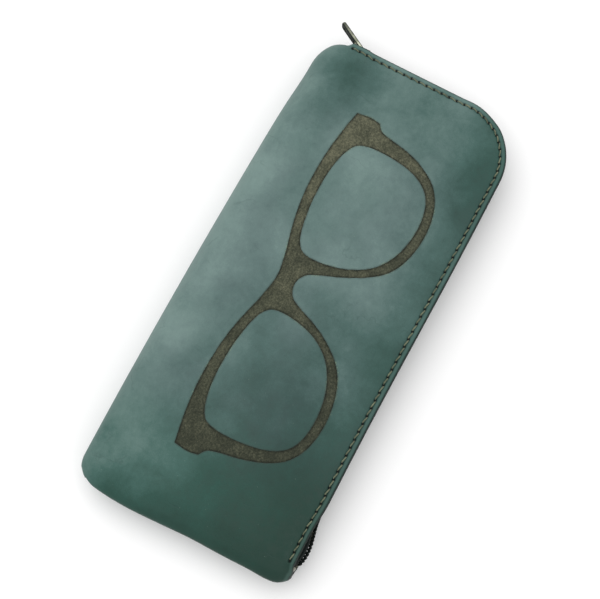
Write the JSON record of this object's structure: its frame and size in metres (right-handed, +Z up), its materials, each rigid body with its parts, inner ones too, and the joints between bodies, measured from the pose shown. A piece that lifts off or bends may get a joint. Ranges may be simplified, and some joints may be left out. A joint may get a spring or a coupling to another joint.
{
  "type": "spectacle pouch",
  "caption": "Slim leather pouch for spectacles, folded along one long side, with an L-shaped zipper, an engraved front and a leaf that makes two pockets.",
  "frame": {"origin": "on the table under the middle of the back panel, the face it rests on", "axes": "+X along the length to the end where the closed slider parks, +Y to the folded long side, +Z up out of the engraved front panel"},
  "size_m": [0.1952, 0.0851, 0.0209],
  "materials": {
    "leather": "matte waxed teal green",
    "divider": "thin unlined split leather",
    "zip_tape": "woven tape",
    "zip_coil": "nylon coil",
    "hardware": "antique nickel",
    "spring": "spring steel",
    "thread": "waxed polyester thread"
  },
  "bodies": {
    "pouch": {"leather_shell": "leather", "divider_leaf": "divider", "zip_tape_back": "zip_tape", "zip_tape_front_ends": "zip_tape", "zip_coil_back": "zip_coil", "zip_coil_front_ends": "zip_coil", "top_stop_front": "hardware", "top_stop_back": "hardware", "bottom_stop": "hardware", "needle_thread_front_ends": "thread", "needle_thread_back": "thread", "bobbin_thread_front_ends": "thread", "bobbin_thread_back": "thread", "seam_thread": "thread"},
    "flap": {"front_flap": "leather", "zip_tape_front": "zip_tape", "zip_coil_front": "zip_coil", "needle_thread_front": "thread", "bobbin_thread_front": "thread"},
    "slider": {"slider_body": "hardware", "slider_crown": "hardware", "slider_lock_spring": "spring"},
    "pull": {"pull_tab": "hardware"}
  },
  "joints": [
    {"name": "mouth_open", "type": "hinge", "parent": "pouch", "child": "flap", "pos_m": [0.094, 0.018, 0.0211], "axis": [-0.948, -0.3182, 0], "range_deg": [0, 55]},
    {"name": "zip_slide", "type": "slide", "parent": "pouch", "child": "slider", "axis": [0, -1, 0], "range_m": [0, 0.037]},
    {"name": "pull_swing", "type": "hinge", "parent": "slider", "child": "pull", "pos_m": [0.09532, 0.0274, 0.01], "axis": [0, 0, -1], "range_deg": [-22, 125]}
  ]
}
